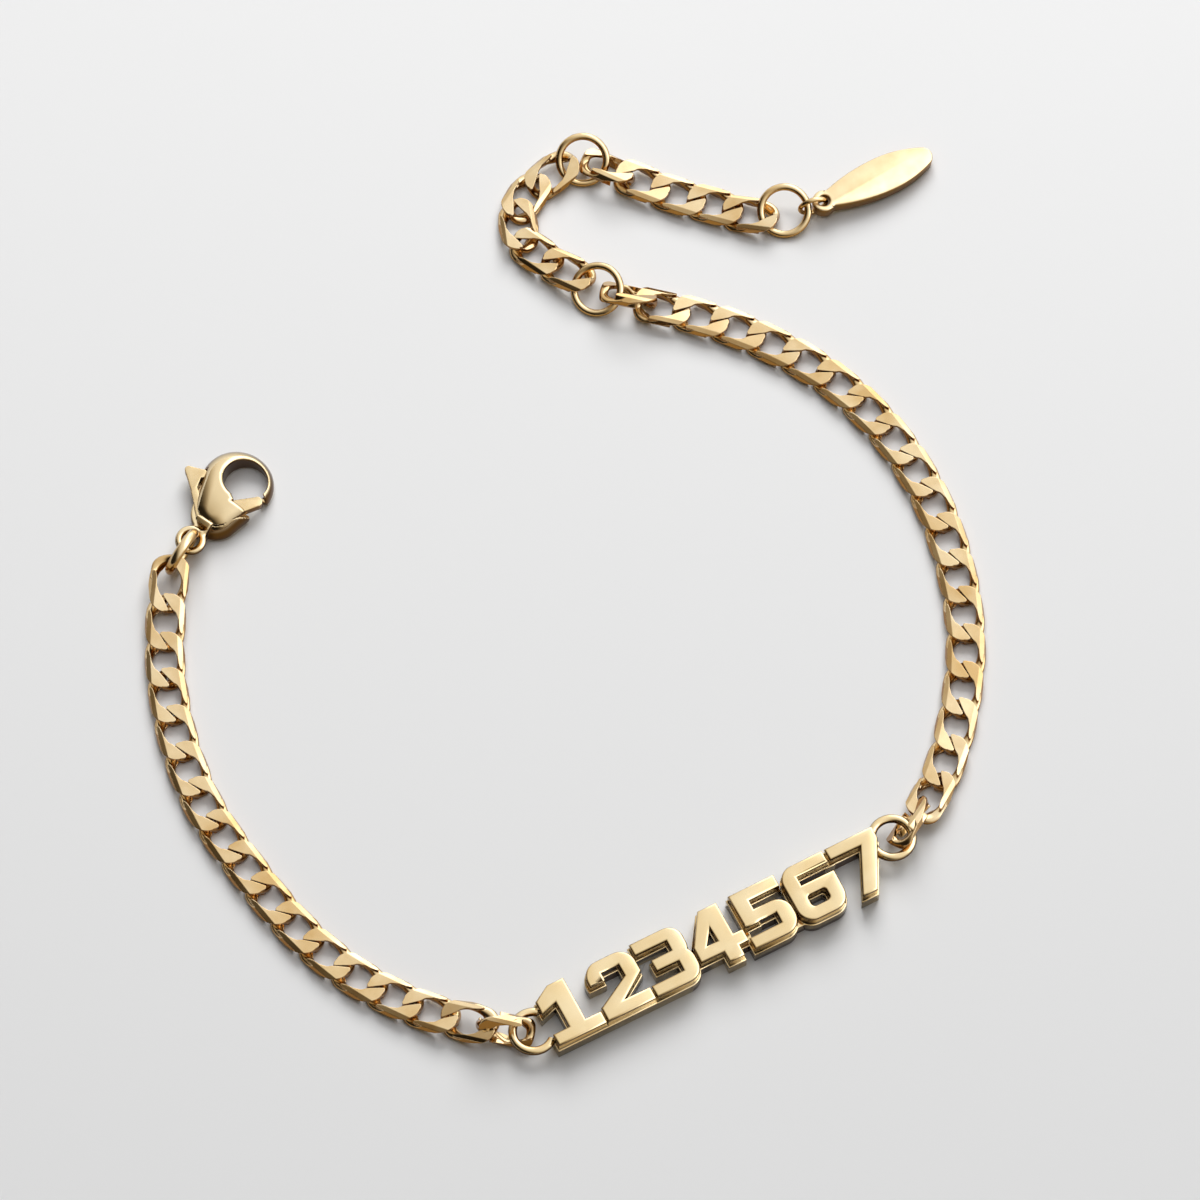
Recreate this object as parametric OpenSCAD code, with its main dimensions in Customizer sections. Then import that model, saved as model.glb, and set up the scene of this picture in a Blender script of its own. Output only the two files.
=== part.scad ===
// Nameplate bracelet lying open on a flat surface.
// The back of the plate is centred on the origin and its numbers read along +X.

/* [Curb link] */
// Overall length of one link (mm)
link_len = 5.16; // [5.10:0.02:5.20]
// Overall width of one link, between its flat filed sides (mm)
link_w = 3.5; // [3.46:0.02:3.54]
// Thickness of the chain between its flat faces (mm)
link_t = 1.2; // [1.1:0.05:1.2]
// Width of the wire at the middle of a link's sides and ends (mm)
wire_w = 0.76; // [0.70:0.02:0.78]
// Height of the wire at the same places (mm)
wire_h = 1.0; // [0.90:0.05:1.0]
// Half width of the wire's centre line across the link (mm)
wire_row = 1.42; // [1.40:0.01:1.44]
// Extra width of the wire at each corner of the link, to each side (mm)
wire_spread = 0.14; // [0.10:0.02:0.14]
// Height that the wire loses at each corner, above and below (mm)
wire_thin = 0.12; // [0.10:0.02:0.14]
// Rise and fall of the wire where neighbouring links cross (mm)
twist = 0.46; // [0.45:0.01:0.47]
// Lean of the filed sides from upright (degrees)
side_lean = 30; // [26:1:32]

/* [Jump rings] */
// Outside diameter of the two sizing rings and the end ring (mm)
ring_d = 4.8; // [4.76:0.01:4.84]
// Wire of the sizing rings and the end ring (mm)
ring_wire = 0.65; // [0.60:0.01:0.66]
// Outside diameter of the small ring that holds the tag (mm)
tag_ring_d = 2.76; // [2.74:0.01:2.78]
// Wire of the small tag ring (mm)
tag_ring_wire = 0.44; // [0.40:0.01:0.45]
// Outside diameter of the ring that holds the clasp (mm)
clasp_ring_d = 4.6; // [4.56:0.01:4.64]
// Wire of the clasp's ring (mm)
clasp_ring_wire = 0.88; // [0.84:0.01:0.90]

/* [Nameplate] */
// Height of the numbers (mm)
digit_h = 5.3; // [5.2:0.05:5.4]
// Room that each number takes along the plate (mm)
digit_pitch = 4.68; // [4.66:0.01:4.72]
// Width of the upright strokes (mm)
stem = 1.45; // [1.3:0.05:1.55]
// Height of the level strokes (mm)
stroke = 1.15; // [1.0:0.05:1.25]
// Thickness of the backing tier (mm)
back_t = 1.35; // [1.2:0.05:1.4]
// Thickness of the raised face tier (mm)
face_t = 1.25; // [1.0:0.05:1.4]
// How far the backing stands out round the face (mm)
ledge = 0.11; // [0.09:0.01:0.14]
// Outer radius of the loops at the plate's ends (mm)
loop_r = 2.13; // [2.11:0.01:2.15]
// Wire of the plate's loops (mm)
loop_wire = 0.76; // [0.72:0.01:0.78]

/* [Tag] */
// Width of the tag (mm)
tag_w = 3.4; // [3.2:0.05:3.6]
// Thickness of the tag (mm)
tag_t = 1.3; // [1.1:0.05:1.4]
// From the centre of the eye to the widest place (mm)
tag_neck = 6.0; // [5.6:0.1:6.4]
// From the widest place to the round tip (mm)
tag_tip = 4.7; // [4.4:0.1:5.0]
// Radius of the tip (mm)
tag_tip_r = 0.9; // [0.7:0.05:1.1]
// Radius of the eye (mm)
tag_eye_r = 1.02; // [0.98:0.01:1.04]
// Radius of the hole in the eye (mm)
tag_hole_r = 0.52; // [0.50:0.01:0.56]

/* [Clasp] */
// Thickness of the clasp body at its highest (mm)
clasp_t = 2.9; // [2.8:0.05:3.0]
// Outer radius of the hook (mm)
hook_r = 3.2; // [3.1:0.05:3.25]
// Radius of the opening inside the hook (mm)
mouth_r = 1.9; // [1.8:0.05:1.95]
// Outer radius of the clasp's eye (mm)
eye_r = 1.36; // [1.34:0.01:1.38]
// Wire of the clasp's eye (mm)
eye_wire = 0.66; // [0.64:0.01:0.68]
// Thickness of the lever (mm)
lever_t = 0.9; // [0.8:0.02:0.94]
// Free play between the lever and each cheek of the body (mm)
lever_play = 0.08; // [0.06:0.01:0.1]
// Radius of the lever's rivet (mm)
pin_r = 0.4; // [0.38:0.01:0.42]
// Running clearance of the lever on its rivet (mm)
pin_play = 0.05; // [0.03:0.01:0.06]

/* [Hidden] */
$fn = 48;
ring_fn = 40;
wire_fn = 20;
eps = 0.01;

// Link centres along the chains as x, y, height and roll, measured on the photo.
// A link that meets a ring or a loop also has its own tip and heading.
clasp_row = [
  [-26.61, 50.54, 1.48, -15, -15, -124],
  [-28.39, 47.64, 0.91, -3],
  [-29.98, 44.55, 0.68, 2],
  [-31.15, 41.48, 0.63, 1],
  [-32.08, 38.12, 0.62, 1],
  [-32.69, 34.67, 0.62, 1],
  [-32.95, 31.2, 0.61, 0],
  [-32.73, 27.74, 0.61, 0],
  [-32.25, 24.3, 0.62, 0],
  [-31.7, 20.9, 0.62, 0],
  [-30.9, 17.5, 0.62, 0],
  [-29.78, 14.22, 0.62, 0],
  [-28.27, 11.08, 0.62, 0],
  [-26.42, 8.19, 0.65, -1],
  [-24.3, 5.55, 0.8, -1],
  [-21.89, 3.11, 1.25, 12, 10, -44],
  [-19.53, 0.98, 1.6, 65, -17, -35]
];
long_row = [
  [19.6, 1.65, 1.62, -62, -3, 30],
  [22.39, 3.21, 1.03, -8],
  [25.03, 5.41, 0.75, -2],
  [27.4, 7.95, 0.67, 3],
  [29.5, 10.64, 0.63, 1],
  [31.37, 13.53, 0.63, 1],
  [32.9, 16.67, 0.63, 1],
  [34.06, 19.96, 0.62, 0],
  [34.92, 23.35, 0.62, 0],
  [35.46, 26.8, 0.62, 0],
  [35.57, 30.3, 0.62, 0],
  [35.3, 33.79, 0.62, 0],
  [34.62, 37.22, 0.62, 0],
  [33.54, 40.53, 0.63, 1],
  [32.05, 43.66, 0.62, 0],
  [30.2, 46.6, 0.62, 0],
  [28.13, 49.34, 0.67, 1],
  [25.79, 51.81, 0.77, 3],
  [23.22, 54.1, 0.9, 7, 4, 141],
  [21.02, 56.22, 1.45, 48, -1, 139]
];
extender_row_1 = [
  [17.45, 60.95, 1.05, 0, -5, 124],
  [15.9, 63.84, 0.85, -3, -3, 115],
  [15.7, 66.9, 0.8, 0, -4, 70],
  [17.6, 69.1, 0.75, 3, -1, 30],
  [20.6, 69.9, 0.95, 5, 7, 10]
];
extender_row_2 = [
  [25.1, 68, 1.15, -29, 4, -55],
  [27.25, 65.55, 0.85, -3],
  [29.46, 63.05, 0.7, -1],
  [31.88, 60.69, 0.68, -1],
  [34.2, 58.45, 0.85, -1, 6, -38]
];

// Places of the rings as x, y, height, roll, tip and heading.
sizing_ring_1_at = [18.96, 58.21, 1.16, 9, 22, 3];
sizing_ring_2_at = [23.5, 69.7, 1.45, 29, 16, -2];
end_ring_at = [36.95, 57.3, 1.25, 18, 19, 11];
tag_ring_at = [39.35, 56.5, 1.39, 88, 2, -11];
clasp_ring_at = [-24.38, 52.36, 2.28, -81, 4, 30];
clasp_at = [-23.1, 53.3, 0, 27];
tag_at = [40.3, 56.3, 1.3, 0, -3.4, 0];

// Stations round one link, and the highest share of the wire's height that a corner may take.
stations = 16;
crown = 0.866;
// Sharpness of the step between the high and low corners of a link.
step_k = 2;

module ring(r_out, wire) {
  rotate_extrude($fn = ring_fn)
    translate([r_out - wire / 2, 0])
      circle(wire / 2, $fn = wire_fn);
}

module put(p) {
  translate([p[0], p[1], p[2]])
    rotate([p[3], -p[4], p[5]])
      children();
}

// Curb link

function sinh_(v) = (exp(v) - exp(-v)) / 2;
function cosh_(v) = (exp(v) + exp(-v)) / 2;
function tanh_(v) = sinh_(v) / cosh_(v);

link_a = link_len / 2 - wire_w / 2;
side_d = link_w / 2 * cos(side_lean);

function mid_z(t) = -twist * tanh_(step_k * sin(2 * t)) / tanh_(step_k);
function half_w(t) = wire_w / 2 + wire_spread * pow(sin(2 * t), 2);
function half_h(t) = wire_h / 2 - wire_thin * pow(sin(2 * t), 2);
function limit(v, lo, hi) = max(lo, min(hi, v));
// Share of the wire's half height that is left below the flat face on side up.
function share(t, up) = limit((link_t / 2 - up * mid_z(t)) / half_h(t), -1, crown);
// Point of the wire's section: across is along the outward normal, side is 1, 0 or -1.
function section_point(t, across, up) =
  let (s = up == 0 ? 0 : share(t, up),
       n = [wire_row * cos(t), link_a * sin(t)] / norm([wire_row * cos(t), link_a * sin(t)]),
       d = across * half_w(t) * sqrt(1 - s * s),
       z = mid_z(t) + up * s * half_h(t),
       y = wire_row * sin(t) + n[1] * d,
       y_max = (side_d - abs(z) * sin(side_lean)) / cos(side_lean))
  [link_a * cos(t) + n[0] * d, sign(y) * min(abs(y), y_max), z];

corners = [[1, 0], [1, 1], [-1, 1], [-1, 0], [-1, -1], [1, -1]];

module link() {
  n = len(corners);
  points = [for (i = [0 : stations - 1], c = corners) section_point(i * 360 / stations, c[0], c[1])];
  faces = [for (i = [0 : stations - 1], j = [0 : n - 1])
    let (i2 = (i + 1) % stations, j2 = (j + 1) % n)
    each [[i * n + j, i * n + j2, i2 * n + j2], [i * n + j, i2 * n + j2, i2 * n + j]]];
  polyhedron(points, faces);
}

function place(p) = [p[0], p[1], p[2]];
// A link on every point of a row, each one looking from the point before to the point after.
module chain(row) {
  for (i = [0 : len(row) - 1]) {
    d = place(row[min(i + 1, len(row) - 1)]) - place(row[max(i - 1, 0)]);
    look = len(row[i]) > 4 ? [row[i][4], row[i][5]] : [atan2(d[2], norm([d[0], d[1]])), atan2(d[1], d[0])];
    put([row[i][0], row[i][1], row[i][2], row[i][3], look[0], look[1]])
      link();
  }
}

// Nameplate

plate_w = 7 * digit_pitch;
digit_w = digit_pitch - 0.12;
h = digit_h;
// Edges of the middle strokes of the numbers with two counters.
mid_lo = (h - stroke) / 2;
mid_hi = (h + stroke) / 2;

module bar(x0, y0, x1, y1, g) {
  translate([x0 - g, y0 - g])
    square([x1 - x0 + 2 * g, y1 - y0 + 2 * g]);
}

// Rectangle with round corners, grown by g all round.
module block(x0, y0, x1, y1, r, g) {
  q = r + g;
  translate([x0 - g, y0 - g + q])
    square([x1 - x0 + 2 * g, y1 - y0 + 2 * g - 2 * q]);
  translate([x0 - g + q, y0 - g])
    square([x1 - x0 + 2 * g - 2 * q, y1 - y0 + 2 * g]);
  for (x = [x0 - g + q, x1 + g - q], y = [y0 - g + q, y1 + g - q])
    translate([x, y])
      circle(q);
}

module digit_1(g) {
  x = digit_w * 0.34;
  bar(x, 0, x + stem + 0.1, h, g);
  bar(0, 0, digit_w, stroke, g);
  polygon([[-g, 3.1 - g], [-g, 4.4 + g], [x, h + g], [x + stem, h + g], [x + stem, 3.6 - g], [x, 3.6 - g]]);
}

module digit_2(g) {
  w = digit_w;
  neck = w - stem;
  difference() {
    block(0, 2.2, w, h, 1.45, g);
    translate([stem + g, 2])
      square([neck - stem - 2 * g, h - stroke - 2 - g]);
    translate([-1, 2])
      square([1 + neck - g, 1.4 - g]);
  }
  bar(0, 0, w, stroke, g);
  polygon([[-g, stroke - 0.1], [stem + 0.5 + g, stroke - 0.1], [w + g, 2.8 - g], [w + g, 3.6], [neck - g, 3.6],
    [neck - g, 3.05 + g], [-g, stroke + 0.2 + g]]);
}

module digit_3(g) {
  w = digit_w;
  difference() {
    union() {
      block(0, 0, w, mid_hi, 1.3, g);
      block(0, mid_lo, w - 0.1, h, 1.3, g);
      bar(0, 0, 1.4, stroke, g);
      bar(0, h - stroke, 1.4, h, g);
    }
    translate([-1, stroke + g])
      square([1 + w - stem - g, mid_lo - stroke - 2 * g]);
    translate([-1, mid_hi + g])
      square([1 + w - stem - 0.1 - g, h - stroke - mid_hi - 2 * g]);
    translate([-1, mid_lo - 0.5])
      square([2 - g, stroke + 1]);
  }
}

module digit_4(g) {
  w = digit_w;
  x = w - stem - 0.9;
  foot = 1.0;
  bar(x, 0, x + stem, h, g);
  bar(0, foot, w, foot + stroke, g);
  difference() {
    polygon([[-g, foot - g], [-g, 2.5 + g], [x - 0.35 - g, h + g], [x + eps, h + g], [x + eps, foot - g]]);
    polygon([[1.15 + g, foot + stroke + g], [x - g, foot + stroke + g], [x - g, 3.7 - 1.5 * g]]);
  }
}

module digit_5(g) {
  w = digit_w;
  bar(0.1, h - stroke, w - 0.1, h, g);
  bar(0.1, mid_lo, 0.1 + stem, h, g);
  bar(0, 0, 1.4, stroke, g);
  difference() {
    block(0, 0, w, 3.3, 1.4, g);
    translate([-1, stroke + g])
      square([1 + w - stem - g, 3.3 - 2 * stroke - 2 * g]);
  }
}

module digit_6(g) {
  w = digit_w;
  difference() {
    block(0, 0, w, h, 1.4, g);
    block(stem, stroke, w - stem, 3.3 - stroke + 0.1, 0.3, -g);
    translate([stem + g, 3.3 + g])
      square([w, h - stroke - 3.3 - 2 * g]);
  }
  bar(w - 1.5, h - stroke, w - 0.1, h, g);
}

module digit_7(g) {
  w = digit_w;
  bar(0, h - stroke, w, h, g);
  polygon([[w - stem - 0.2 - g, h - stroke], [w + g, h - stroke], [w + g, h - stroke - g], [0.9 + stem + g, -g],
    [0.9 - g, -g]]);
}

module digits(g) {
  for (i = [0 : 6]) {
    translate([-plate_w / 2 + i * digit_pitch + 0.06, -h / 2]) {
      if (i == 0) digit_1(g);
      if (i == 1) digit_2(g);
      if (i == 2) digit_3(g);
      if (i == 3) digit_4(g);
      if (i == 4) digit_5(g);
      if (i == 5) digit_6(g);
      if (i == 6) digit_7(g);
    }
  }
}

// Heights of the solder bridges between neighbouring numbers, counted from the numbers' foot.
bridge_y = [0.7, 0.7, 1.6, 1.6, 0.9, 4.5];
bridge = 1.0;
loop_z = 1.4;
// How far the left loop is let into the first number.
solder_in = 0.3;
left_loop = [-17.5, -0.15];
right_loop = [17.6, 1.25];

module nameplate() {
  color("gold") {
    linear_extrude(back_t) {
      digits(ledge);
      for (i = [0 : 5])
        translate([-plate_w / 2 + (i + 1) * digit_pitch - bridge / 2, bridge_y[i] - h / 2 - bridge / 2])
          square(bridge);
    }
    translate([0, 0, back_t - eps])
      linear_extrude(face_t + eps)
        digits(0);
    intersection() {
      translate([left_loop[0], left_loop[1], loop_z])
        ring(loop_r, loop_wire);
      translate([solder_in - plate_w / 2 - 3 * loop_r, -2 * loop_r, 0])
        cube([3 * loop_r, 4 * loop_r, 2 * loop_z]);
    }
    translate([right_loop[0], right_loop[1], loop_z])
      ring(loop_r, loop_wire);
  }
}

// Tag

// Radius of the side arcs that run from half width w2 down to half width w1 over length run.
function arc_r(run, w2, w1) = (run * run + pow(w2 - w1, 2)) / (2 * (w2 - w1));
tag_side_r = arc_r(tag_neck, tag_w / 2, 0.6);
// Radius of the arcs that meet the round tip without a corner.
tip_x = tag_tip - tag_tip_r;
tag_nose_r = (tip_x * tip_x + tag_w * tag_w / 4 - tag_tip_r * tag_tip_r) / (tag_w - 2 * tag_tip_r);
nose_end = tag_nose_r * tip_x / (tag_nose_r - tag_tip_r);

module lens(r, x0, x1) {
  intersection() {
    translate([0, tag_w / 2 - r])
      circle(r, $fn = 180);
    translate([0, r - tag_w / 2])
      circle(r, $fn = 180);
    translate([x0, -tag_w])
      square([x1 - x0, 2 * tag_w]);
  }
}

module tag() {
  color("gold")
    put(tag_at)
      difference() {
        translate([0, 0, -tag_t / 2])
          linear_extrude(tag_t) {
            circle(tag_eye_r);
            translate([tag_neck, 0]) {
              lens(tag_side_r, -tag_neck + 0.3, eps);
              lens(tag_nose_r, 0, nose_end);
              translate([tip_x, 0])
                circle(tag_tip_r);
            }
          }
        cylinder(2 * tag_t, r = tag_hole_r, center = true);
      }
}

// Clasp, in its own frame: eye at the origin, hook along +X

hook_c = [6.75, 0];
mouth_c = [7.1, -0.65];
foot_c = [3.3, -0.2];
foot_r = 2.2;
pivot = [3.3, -0.3];
pin_len = 1.8;
hub_r = 1.25;
slot_t = lever_t + 2 * lever_play;
mid = clasp_t / 2;
dome_r = 9;
gate_root = [3.45, -0.5];
gate_tip = [6.1, -2.62];
strip_root = [2.3, 0.55];
strip_end = [3.7, 2.25];
tab_base = [5.5, 2.75];
tab_end = [5.1, 3.95];
slot_r = hub_r + 0.12;
web_in = 0.02;

// Straight sided outline between two circles, with its corners just inside them.
module web(c1, r1, c2, r2) {
  d = c2 - c1;
  a = atan2(d[1], d[0]);
  b = acos((r1 - r2) / norm(d));
  q1 = r1 - web_in;
  q2 = r2 - web_in;
  polygon([c1 + q1 * [cos(a + b), sin(a + b)], c2 + q2 * [cos(a + b), sin(a + b)],
    c2 + q2 * [cos(a - b), sin(a - b)], c1 + q1 * [cos(a - b), sin(a - b)]]);
  translate(c1)
    circle(r1);
  translate(c2)
    circle(r2);
}

// Polygon of corners counted from a centre.
module around(c, corners) {
  polygon([for (p = corners) c + p]);
}

module in_clasp() {
  translate([clasp_at[0], clasp_at[1], clasp_at[2]])
    rotate([0, 0, clasp_at[3]])
      children();
}

module mouth_shape() {
  translate(mouth_c)
    circle(mouth_r);
  around(mouth_c, [[-0.82, 1.75], [-2.25, -0.45], [-1.5, -1.35], [1.1, -1.35], [1.1, 1.15]]);
  // Cut that parts the hook's tip from the foot, where the gate closes
  around(mouth_c, [[-2.4, -0.35], [-2.1, -2.75], [-0.35, -2.95], [-0.55, -1.65], [0, -1.25]]);
}

module slot_shape() {
  translate(pivot)
    circle(slot_r);
  // Room for the gate arm from closed to open
  around(pivot, [[-0.6, -1.0], [2.3, -3.05], [3.2, -3.3], [4.2, -1.2], [2.4, 1.2]]);
  // Room for the thumb strip, open towards the side
  around(pivot, [[0.9, 0.9], [2.85, 2.5], [2.9, 3.7], [0.4, 5.2], [-4.4, 2.6], [-1.9, -0.35]]);
}

module clasp_body() {
  color("gold")
    in_clasp() {
      difference() {
        intersection() {
          difference() {
            linear_extrude(clasp_t) {
              web(foot_c, foot_r, hook_c, hook_r);
              translate([0.9, -0.8])
                square([1.2, 1.6]);
            }
            translate([0, 0, -1])
              linear_extrude(clasp_t + 2)
                mouth_shape();
          }
          translate([5.4, 0, clasp_t - dome_r])
            sphere(dome_r, $fn = 96);
        }
        translate([0, 0, mid - slot_t / 2])
          linear_extrude(slot_t)
            slot_shape();
        translate([pivot[0], pivot[1], mid - pin_len / 2 - 0.1])
          cylinder(pin_len + 0.2, r = pin_r + 0.01);
        cylinder(3 * clasp_t, r = eye_r - eye_wire / 2, center = true);
      }
      translate([0, 0, mid])
        ring(eye_r, eye_wire);
    }
}

module clasp_lever() {
  color("gold")
    in_clasp()
      translate([0, 0, mid - lever_t / 2])
        difference() {
          union() {
            translate(pivot)
              cylinder(lever_t, r = hub_r);
            linear_extrude(lever_t)
              web(gate_root, 0.85, gate_tip, 0.46);
            linear_extrude(lever_t)
              web(strip_root, 0.45, strip_end, 0.34);
            linear_extrude(lever_t)
              web(strip_end, 0.3, tab_end, 0.36);
            linear_extrude(lever_t)
              web(tab_base, 0.4, tab_end, 0.36);
            linear_extrude(lever_t)
              polygon([strip_end, tab_base, tab_end]);
          }
          translate([pivot[0], pivot[1], -1])
            cylinder(lever_t + 2, r = pin_r + pin_play);
        }
}

module clasp_pin() {
  color("gold")
    in_clasp()
      translate([pivot[0], pivot[1], mid - pin_len / 2])
        cylinder(pin_len, r = pin_r);
}

// Rings and chains

module clasp_chain() {
  color("gold")
    chain(clasp_row);
}

module long_chain() {
  color("gold")
    chain(long_row);
}

module extender_chain_1() {
  color("gold")
    chain(extender_row_1);
}

module extender_chain_2() {
  color("gold")
    chain(extender_row_2);
}

module sizing_ring_1() {
  color("gold")
    put(sizing_ring_1_at)
      ring(ring_d / 2, ring_wire);
}

module sizing_ring_2() {
  color("gold")
    put(sizing_ring_2_at)
      ring(ring_d / 2, ring_wire);
}

module end_ring() {
  color("gold")
    put(end_ring_at)
      ring(ring_d / 2, ring_wire);
}

module tag_ring() {
  color("gold")
    put(tag_ring_at)
      ring(tag_ring_d / 2, tag_ring_wire);
}

module clasp_ring() {
  color("gold")
    put(clasp_ring_at)
      ring(clasp_ring_d / 2, clasp_ring_wire);
}

nameplate();
clasp_chain();
long_chain();
sizing_ring_1();
extender_chain_1();
sizing_ring_2();
extender_chain_2();
end_ring();
tag_ring();
tag();
clasp_ring();
clasp_body();
clasp_lever();
clasp_pin();
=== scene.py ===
import bmesh
import bpy
import numpy as np
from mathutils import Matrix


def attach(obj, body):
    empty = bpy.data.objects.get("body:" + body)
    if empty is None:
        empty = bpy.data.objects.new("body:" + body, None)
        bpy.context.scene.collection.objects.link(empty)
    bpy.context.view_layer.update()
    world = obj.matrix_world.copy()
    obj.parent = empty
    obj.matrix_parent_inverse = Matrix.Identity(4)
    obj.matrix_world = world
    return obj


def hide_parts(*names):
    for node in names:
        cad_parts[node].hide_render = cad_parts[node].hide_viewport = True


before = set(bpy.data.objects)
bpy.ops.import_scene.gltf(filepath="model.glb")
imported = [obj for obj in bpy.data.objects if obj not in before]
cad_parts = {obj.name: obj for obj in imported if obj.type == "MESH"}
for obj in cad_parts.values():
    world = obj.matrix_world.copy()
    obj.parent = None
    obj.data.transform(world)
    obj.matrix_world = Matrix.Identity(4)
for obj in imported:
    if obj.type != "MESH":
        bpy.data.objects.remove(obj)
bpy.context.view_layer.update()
MM = 0.001

# Nameplate: raised numbers on a backing plate of the same outline, sawn from brass sheet and soldered
# together with a wire loop at each end. The edges are softened by polishing before the piece is plated
# with a thin coat of pale gold.


def linear(code):
    """Linear light of an sRGB hex colour: v / 12.92 below 0.04045, else ((v + 0.055) / 1.055) to the
    power 2.4."""
    v = np.array([int(code[i:i + 2], 16) for i in (1, 3, 5)]) / 255
    return (*np.where(v <= 0.04045, v / 12.92, ((v + 0.055) / 1.055) ** 2.4), 1.0)


def add(tree, kind, inputs=None, links=None, **settings):
    """Adds a node with its settings, the values of its inputs and the sockets that they are linked to."""
    made = tree.nodes.new(kind)
    for key, value in settings.items():
        setattr(made, key, value)
    for key, value in (inputs or {}).items():
        made.inputs[key].default_value = value
    for key, socket in (links or {}).items():
        tree.links.new(socket, made.inputs[key])
    return made


# Sockets of a Mix node for colours: its two colours and its result
COLOR_A, COLOR_B, MIXED = 6, 7, 2
# The two values that most of a noise lies between
NOISE_LOW, NOISE_HIGH = 0.3, 0.7
# How steep a face is, by the |z| of its normal: a wall up to the first value, a flat from the second on.
# Walls take a painted shade
WALL, FLAT = 0.4, 0.85
# Radius in mm that polishing gives every edge, drawn by the shading where an edge is sharp in the mesh
EDGE = 0.09


def gold_plating(name, light, deep, side, smooth, dull, cloud, grain, depth, wave=0.0):
    """Gold plating: a metal whose tint and gloss drift over clouds of cloud mm, over a grain of grain mm
    that stands depth mm high. Real polishing leaves a finer grain, which is drawn as coarse as it needs to
    show. light and deep are its tints on faces that lie flat. side is a darker tint painted as shade on
    upright faces. smooth and dull are its two roughnesses. Hand polishing leaves waves of two
    clouds' length that stand wave mm high."""
    material = bpy.data.materials.new(name)
    material.use_nodes = True
    tree = material.node_tree
    shader = tree.nodes["Principled BSDF"]
    surface = add(tree, "ShaderNodeTexCoord")
    place = surface.outputs["Object"]
    clouds = add(tree, "ShaderNodeTexNoise", {"Scale": 1 / (cloud * MM), "Detail": 3.0}, {"Vector": place})
    drift = add(tree, "ShaderNodeMapRange", {"From Min": NOISE_LOW, "From Max": NOISE_HIGH},
                {"Value": clouds.outputs["Fac"]})
    tint = add(tree, "ShaderNodeMix", {COLOR_A: linear(light), COLOR_B: linear(deep)},
               {"Factor": drift.outputs["Result"]}, data_type="RGBA")
    # Painted shade: upright faces take the side tint instead of the flat faces' tints, blending between
    # WALL and FLAT, to darken walls the way the dark surroundings they mirror would
    facing = add(tree, "ShaderNodeSeparateXYZ", links={"Vector": surface.outputs["Normal"]})
    level = add(tree, "ShaderNodeMath", links={0: facing.outputs["Z"]}, operation="ABSOLUTE")
    painted_wall_shade = add(tree, "ShaderNodeMapRange", {"From Min": WALL, "From Max": FLAT},
                 {"Value": level.outputs["Value"]}, interpolation_type="SMOOTHSTEP")
    color = add(tree, "ShaderNodeMix", {COLOR_A: linear(side)},
                {"Factor": painted_wall_shade.outputs["Result"], COLOR_B: tint.outputs[MIXED]}, data_type="RGBA")
    tree.links.new(color.outputs[MIXED], shader.inputs["Base Color"])
    wear = add(tree, "ShaderNodeTexNoise", {"Scale": 2.5 / (cloud * MM), "Detail": 6.0}, {"Vector": place})
    gloss = add(tree, "ShaderNodeMapRange",
                {"From Min": NOISE_LOW, "From Max": NOISE_HIGH, "To Min": smooth, "To Max": dull},
                {"Value": wear.outputs["Fac"]})
    tree.links.new(gloss.outputs["Result"], shader.inputs["Roughness"])
    grit = add(tree, "ShaderNodeTexNoise", {"Scale": 1 / (grain * MM), "Detail": 2.0}, {"Vector": place})
    swell = add(tree, "ShaderNodeTexNoise", {"Scale": 0.5 / (cloud * MM), "Detail": 0.0}, {"Vector": place})
    edges = add(tree, "ShaderNodeBevel", {"Radius": EDGE * MM}, samples=4)
    hand = add(tree, "ShaderNodeBump", {"Strength": 1.0, "Distance": wave * MM},
               {"Height": swell.outputs["Fac"], "Normal": edges.outputs["Normal"]})
    bump = add(tree, "ShaderNodeBump", {"Strength": 1.0, "Distance": depth * MM},
               {"Height": grit.outputs["Fac"], "Normal": hand.outputs["Normal"]})
    tree.links.new(bump.outputs["Normal"], shader.inputs["Normal"])
    shader.inputs["Metallic"].default_value = 1.0
    return material


# The |z| of a normal from which a face is level, and how near in mm two points, or a face and a level,
# count as the same
LEVEL, SAME_POINT, SAME_LEVEL = 0.999, 0.001, 0.01
# Edges that turn by more than this many degrees are shaded sharp
SHARP = 40


def flat_sheet(node, level):
    """The node's faces that lie flat at a level in mm, as a loose sheet that faces up."""
    sheet = bmesh.new()
    sheet.from_mesh(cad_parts[node].data)
    bmesh.ops.remove_doubles(sheet, verts=sheet.verts, dist=SAME_POINT * MM)
    others = [f for f in sheet.faces
              if abs(f.normal.z) < LEVEL or abs(f.calc_center_median().z - level * MM) > SAME_LEVEL * MM]
    bmesh.ops.delete(sheet, geom=others, context="FACES")
    if sheet.faces[:][0].normal.z < 0:
        bmesh.ops.reverse_faces(sheet, faces=sheet.faces)
    return sheet


def tier(sheet, low, high, edge, steps=4):
    """Solid that stands on the sheet's outline from low to high mm. Its upper edge follows a quarter of a
    circle of radius edge: after k of n steps it is edge (1 - cos(90 k / n)) in and edge sin(90 k / n) up. A
    row of faces half as high as the edge stands under it, which keeps the wall's shading straight."""
    for vert in sheet.verts:
        vert.co.z = low * MM
    top = sheet.faces[:]
    for rise in (high - low - 1.5 * edge, 0.5 * edge):
        grown = bmesh.ops.extrude_face_region(sheet, geom=top)["geom"]
        top = [g for g in grown if isinstance(g, bmesh.types.BMFace)]
        bmesh.ops.translate(sheet, vec=(0, 0, rise * MM), verts=list({v for f in top for v in f.verts}))
    turn = np.radians(np.linspace(0, 90, steps + 1))
    for inward, up in zip(-np.diff(np.cos(turn)) * edge, np.diff(np.sin(turn)) * edge):
        bmesh.ops.inset_region(sheet, faces=top, thickness=inward * MM, depth=up * MM, use_even_offset=True)
    for face in sheet.faces:
        face.smooth = abs(face.normal.z) < LEVEL
    return sheet


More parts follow.
